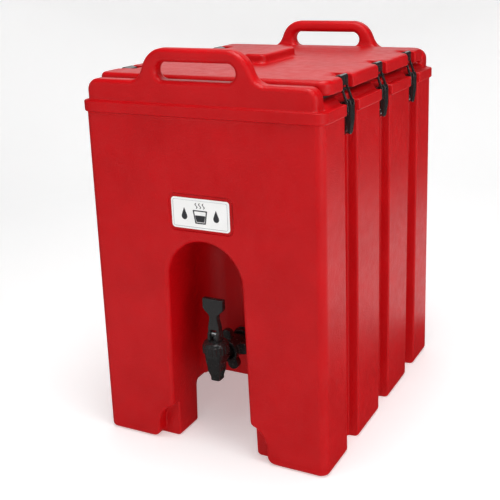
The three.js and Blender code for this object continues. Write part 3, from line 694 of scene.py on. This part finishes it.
def red_polyethylene():
    material, tree, shader = new_material("red_shell", (0.47, 0.0015, 0.003), 0.42)
    mottle = ramp(tree, noise(tree, 14, 4), 0.35, 0.65, 0.0, 1.0)
    body_colour = tint(tree, mottle, (0.45, 0.001, 0.003), (0.50, 0.002, 0.0045))
    feed(tree, body_colour, shader, "Base Color")
    gloss = ramp(tree, noise(tree, 55, 5), 0.3, 0.7, 0.30, 0.42)
    feed(tree, gloss, shader, "Roughness")
    shader.inputs["Specular IOR Level"].default_value = 0.22
    bump(tree, shader, [
        (noise(tree, 9, 2), 0.0015, 0.15),
        (noise(tree, 420, 2), 0.0006, 1.0),
        (noise(tree, 900, 2), 0.0001, 0.5),
    ])
    return material


def black_nylon():
    material, tree, shader = new_material("black_nylon", (0.012, 0.012, 0.013), 0.36)
    mottle = tint(tree, noise(tree, 120, 3), (0.015, 0.014, 0.014), (0.021, 0.020, 0.020))
    feed(tree, mottle, shader, "Base Color")
    feed(tree, ramp(tree, noise(tree, 260, 4), 0.3, 0.7, 0.18, 0.28), shader, "Roughness")
    shader.inputs["Specular IOR Level"].default_value = 0.7
    bump(tree, shader, [(noise(tree, 700, 2), 0.00002, 0.2)])
    return material


def stainless():
    material, tree, shader = new_material("stainless", (0.60, 0.60, 0.61), 0.28, 1.0)
    streaks = noise(tree, 900, 3, (1.0, 1.0, 6.0))
    feed(tree, ramp(tree, streaks, 0.3, 0.7, 0.18, 0.36), shader, "Roughness")
    mottle = tint(tree, noise(tree, 300, 3), (0.52, 0.52, 0.53), (0.66, 0.66, 0.67))
    feed(tree, mottle, shader, "Base Color")
    bump(tree, shader, [(streaks, 0.00003, 0.3)])
    return material


def silicone():
    material, tree, shader = new_material("silicone", (0.66, 0.66, 0.63), 0.45)
    shader.inputs["Subsurface Weight"].default_value = 0.3
    shader.inputs["Subsurface Radius"].default_value = (0.004, 0.004, 0.003)
    feed(tree, ramp(tree, noise(tree, 200, 3), 0.3, 0.7, 0.38, 0.55), shader, "Roughness")
    bump(tree, shader, [(noise(tree, 1500, 2), 0.00004, 0.3)])
    return material


def gasket_rubber():
    material, tree, shader = new_material("gasket_rubber", (0.022, 0.022, 0.023), 0.7)
    feed(tree, ramp(tree, noise(tree, 300, 4), 0.3, 0.7, 0.6, 0.8), shader, "Roughness")
    mottle = tint(tree, noise(tree, 60, 3), (0.018, 0.018, 0.019), (0.035, 0.034, 0.034))
    feed(tree, mottle, shader, "Base Color")
    bump(tree, shader, [(noise(tree, 900, 2), 0.00008, 0.4)])
    return material


def foam():
    material, tree, shader = new_material("foam", (0.72, 0.60, 0.34), 0.9)
    mottle = tint(tree, noise(tree, 90, 5), (0.62, 0.50, 0.26), (0.78, 0.67, 0.42))
    feed(tree, mottle, shader, "Base Color")
    bump(tree, shader, [(noise(tree, 700, 3), 0.0003, 0.8)])
    return material


def label_white():
    material, tree, shader = new_material("label", (0.86, 0.86, 0.85), 0.32)
    mottle = tint(tree, noise(tree, 40, 3), (0.83, 0.83, 0.82), (0.89, 0.89, 0.88))
    feed(tree, mottle, shader, "Base Color")
    feed(tree, ramp(tree, noise(tree, 500, 3), 0.3, 0.7, 0.25, 0.4), shader, "Roughness")
    bump(tree, shader, [(noise(tree, 1200, 2), 0.00003, 0.3)])
    return material


def label_ink(name, colour):
    material, tree, shader = new_material(name, colour, 0.4)
    lighter = tuple(min(1.0, c * 1.25) for c in colour)
    feed(tree, tint(tree, noise(tree, 900, 3), colour, lighter), shader, "Base Color")
    return material


RED = red_polyethylene()
NYLON = black_nylon()
STEEL = stainless()
SILICONE = silicone()
RUBBER = gasket_rubber()
FOAM = foam()
LABEL = label_white()
BORDER_INK = label_ink("label_border", (0.32, 0.33, 0.34))
DARK_INK = label_ink("label_pictogram", (0.03, 0.03, 0.035))

SLOT_FINISH = {
    "red_shell": RED, "black_nylon": NYLON, "stainless": STEEL, "silicone": SILICONE,
    "gasket_rubber": RUBBER, "foam": FOAM, "label": LABEL,
}


def finish_cad_nodes():
    for part in frame["record"]["subparts"]:
        material = SLOT_FINISH[part["material_slot"]]
        cad = frame["nodes"][part["node"]]
        cad.data.materials.clear()
        cad.data.materials.append(material)


# ---------------------------------------------------------------- pieces
def box_axes(low, high, step):
    """Grid lines in equal steps over a box, with a margin of two steps."""
    return [np.arange(a - 2 * step, b + 2.5 * step, step) for a, b in zip(low, high)]


def build_shells():
    body_mesh = sculpt("body_moulding", body, body_axes(), 6)
    place("body_moulding", body_mesh, "carrier", RED, "red_shell", "body_shell")
    lid_mesh = sculpt("lid_moulding", lid, lid_axes(), 3)
    place("lid_moulding", lid_mesh, "lid", RED, "red_shell", "lid_shell")


def build_latches():
    base = sculpt("latch_base", latch_base, box_axes((184.3, -20.5, 512), (201.5, 20.5, 564), 0.7))
    lever = sculpt("latch_lever", latch_lever, box_axes((191.5, -7.5, 514), (204.6, 7.5, 566), 0.5))
    link = sculpt("latch_link", latch_link, box_axes((176.4, -12.2, 543.5), (201, 12.2, 600.8), 0.6))
    screw_box = box_axes((0, -SCREW_R, -SCREW_R), (2.8, SCREW_R, SCREW_R), 0.25)
    screw = sculpt("base_screw", screw_head, screw_box)
    for side, turn in (("right", 0.0), ("left", math.pi)):
        for i, y in enumerate(GROOVE_Y, 1):
            label = f"{side}_{i}"
            flip = Matrix.Rotation(turn, 4, "Z")
            spot = Matrix.Translation((0, y * MM, 0)) @ flip
            mouldings = (
                ("base", base, "carrier"),
                ("lever", lever, f"lever_{label}"),
                ("link", link, f"link_{label}"),
            )
            for kind, mesh, owner in mouldings:
                node = f"latch_{label}_{kind}"
                piece = place(f"{node}_moulding", mesh, owner, NYLON, "black_nylon", node)
                piece.matrix_world = spot
            for n, (v, z) in enumerate(SCREWS, 1):
                piece = place(f"latch_{label}_screw_{n}", screw, "carrier", STEEL, "stainless")
                tilt = Matrix.Rotation(0.7 * n + i + turn, 4, "X")
                seat = Matrix.Translation((SCREW_SEAT_X * MM, v * MM, z * MM))
                piece.matrix_world = spot @ seat @ tilt


def build_spigot():
    parts = (
        ("valve_body", valve_body, (-15.6, -243, 116), (15.6, -175, 175), 0.8, "carrier"),
        ("bonnet_cap", bonnet_cap, (-22, -249, 165), (22, -205, 187), 0.7, "carrier"),
        ("spigot_handle", spigot_handle, (-19, -236, 186), (19, -218, 256), 0.7, "spigot_handle"),
        ("spigot_wing_nut", wing_nut, (-36, -194, 114), (36, -160, 186), 0.9, "carrier"),
        ("spigot_shank", shank, (-22, -175, 128), (22, -86, 172), 0.8, "carrier"),
        ("shank_lock_nut", lock_nut, (-21, -146, 129), (21, -136.5, 171), 0.9, "carrier"),
    )
    for name, shape, low, high, step, owner in parts:
        mesh = sculpt(name, shape, box_axes(low, high, step))
        place(f"{name}_moulding", mesh, owner, NYLON, "black_nylon", name)


def pictogram(x, y, z):
    """A generic cup with steam and a drop on either side of it."""
    x, w = x / PICTOGRAM_SCALE, (z - LABEL_Z) / PICTOGRAM_SCALE
    cup = np.maximum(polygon(x, w, [(-9, 4), (9, 4), (6.5, -11), (-6.5, -11)], 1.0), -1.0)
    inner = polygon(x, w, [(-7.2, 2.6), (7.2, 2.6), (5.2, -9.4), (-5.2, -9.4)], 0.8)
    cup = np.maximum(cup, -inner)
    wisps = np.abs(x - 1.2 * np.sin(w * 0.9)) - 0.7
    for dx in (-5.0, 5.0):
        wisps = np.minimum(wisps, np.abs(x - dx - 1.2 * np.sin(w * 0.9)) - 0.7)
    wisps = np.maximum(wisps, np.abs(w - 10.5) - 3.5)
    drink = np.maximum(polygon(x, w, [(-6.4, -2), (6.4, -2), (5.0, -9), (-5.0, -9)], 0.6), -1.0)
    a = np.abs(x) - 22
    drop = join(np.hypot(a, w + 4) - 4, polygon(a, w, [(-3.4, -2), (3.4, -2), (0, 7)], 0.2), 0.5)
    ink = np.minimum(np.minimum(cup, wisps), np.minimum(drink, drop))
    return np.maximum(ink, np.abs(y - LABEL_FLOOR_Y + 1.75) - 0.12)


def border(x, y, z):
    w = z - LABEL_Z
    line = np.abs(rect(x, w, LABEL_HALF[0] - 3.2, LABEL_HALF[1] - 3.2, 3)) - 0.4
    return np.maximum(line, np.abs(y - LABEL_FLOOR_Y + 1.75) - 0.12)


def flat_axes(half, step):
    ys = LABEL_FLOOR_Y - 1.75 + np.array([-0.5, -0.2, 0.0, 0.2, 0.5])
    a = np.arange(-half[0] - 2 * step, half[0] + 2.5 * step, step)
    b = np.arange(LABEL_Z - half[1] - 2 * step, LABEL_Z + half[1] + 2.5 * step, step)
    return a, ys, b


def build_label():
    plate_axes = (
        mirrored(52, 6, [(44, 52, 0.7)]), np.arange(-253, -249, 0.35),
        LABEL_Z + mirrored(26, 5, [(18, 26, 0.7)]),
    )
    face = sculpt("label_face", label_plate, plate_axes)
    place("label_face", face, "carrier", LABEL, "label", "label_plate")
    place("label_border", sculpt("label_border", border, flat_axes((47.5, 21.5), 0.45), 0.1),
          "carrier", BORDER_INK, "label")
    place("label_pictogram", sculpt("label_pictogram", pictogram, flat_axes((34, 19), 0.4), 0.1),
          "carrier", DARK_INK, "label")


def build_vent():
    low = (VENT[0] - VENT_R, VENT[1] - VENT_R, 581)
    high = (VENT[0] + VENT_R, VENT[1] + VENT_R, 608)
    mesh = sculpt("vent_cap", vent_cap, box_axes(low, high, 0.8))
    place("vent_cap_moulding", mesh, "vent_cap", NYLON, "black_nylon", "vent_cap")


# ---------------------------------------------------------------- stage, light and camera
AZIMUTH = 26.75
ELEVATION = 17.72
ROLL = -1.72
DISTANCE = 1.55443
AIM = Vector((0, 0, 0.3))
LENS = 63.25
SHIFT = (-0.0533, -0.0393)
STAGE_R = 2.9
COVE_R = 1.3
STAGE_WALL = 2.0


def build_stage():
    mesh = bpy.data.meshes.new("floor")
    turns, steps = 96, 16
    profile = [(STAGE_R - COVE_R, 0.0)]
    for i in range(1, steps + 1):
        t = math.pi / 2 * i / steps
        profile.append((STAGE_R - COVE_R + COVE_R * math.sin(t), COVE_R - COVE_R * math.cos(t)))
    profile.append((STAGE_R, STAGE_WALL))
    angles = [2 * math.pi * j / turns for j in range(turns)]
    verts = [(r * math.cos(a), r * math.sin(a), z) for r, z in profile for a in angles]
    faces = [list(range(turns))]
    for i in range(len(profile) - 1):
        for j in range(turns):
            k = (j + 1) % turns
            faces.append([i * turns + k, i * turns + j, (i + 1) * turns + j, (i + 1) * turns + k])
    mesh.from_pydata(verts, [], faces)
    mesh.polygons.foreach_set("use_smooth", [False] + [True] * (len(faces) - 1))
    floor = bpy.data.objects.new("floor", mesh)
    bpy.context.scene.collection.objects.link(floor)
    material, tree, shader = new_material("floor_paper", (0.86, 0.86, 0.86), 0.7)
    shader.inputs["Emission Color"].default_value = (1, 1, 1, 1)
    shader.inputs["Emission Strength"].default_value = 0.36
    feed(tree, ramp(tree, noise(tree, 30, 3), 0.3, 0.7, 0.6, 0.75), shader, "Roughness")
    mesh.materials.append(material)
    floor.visible_glossy = False


def area_light(name, azimuth, elevation, distance, size, power, flat=False):
    """A panel that faces the middle of the carrier, or lies flat and faces up."""
    data = bpy.data.lights.new(name, "AREA")
    data.shape = "RECTANGLE"
    data.size, data.size_y = size
    data.energy = power
    light = bpy.data.objects.new(name, data)
    a, e = math.radians(azimuth), math.radians(elevation)
    direction = Vector((math.sin(a) * math.cos(e), -math.cos(a) * math.cos(e), math.sin(e)))
    light.location = AIM + direction * distance
    light.rotation_euler = (math.pi, 0, a) if flat else direction.to_track_quat("Z", "Y").to_euler()
    light.visible_camera = False
    bpy.context.scene.collection.objects.link(light)


def build_lights():
    area_light("key", 24, 52, 1.4, (0.6, 0.6), 2.6)
    area_light("top", 30, 82, 1.5, (0.9, 0.9), 18)
    area_light("strip", -28, 22, 1.9, (0.12, 1.1), 1.2)
    area_light("side", 68, 16, 2.2, (1.0, 1.0), 14)
    area_light("side_floor_card", 137, -18, 0.92, (1.2, 0.9), 2.8, flat=True)
    area_light("front_floor_card", -20, -17, 1.0, (1.0, 0.8), 0.6, flat=True)
    area_light("back_card", 203, 28, 2.3, (2.0, 1.0), 7)
    world = bpy.data.worlds.new("studio")
    world.use_nodes = True
    world.node_tree.nodes["Background"].inputs["Color"].default_value = (1, 1, 1, 1)
    world.node_tree.nodes["Background"].inputs["Strength"].default_value = 0.03
    bpy.context.scene.world = world


def build_camera():
    a, e = math.radians(AZIMUTH), math.radians(ELEVATION)
    direction = Vector((math.sin(a) * math.cos(e), -math.cos(a) * math.cos(e), math.sin(e)))
    data = bpy.data.cameras.new("camera")
    data.lens = LENS
    data.shift_x, data.shift_y = SHIFT
    camera = bpy.data.objects.new("camera", data)
    turn = direction.to_track_quat("Z", "Y").to_matrix().to_4x4()
    roll = Matrix.Rotation(math.radians(ROLL), 4, "Z")
    camera.matrix_world = Matrix.Translation(AIM + direction * DISTANCE) @ turn @ roll
    bpy.context.scene.collection.objects.link(camera)
    bpy.context.scene.camera = camera
    bpy.context.scene.view_settings.view_transform = "Standard"


build_camera()
build_lights()
build_stage()
finish_cad_nodes()
build_shells()
build_latches()
build_spigot()
build_label()
build_vent()
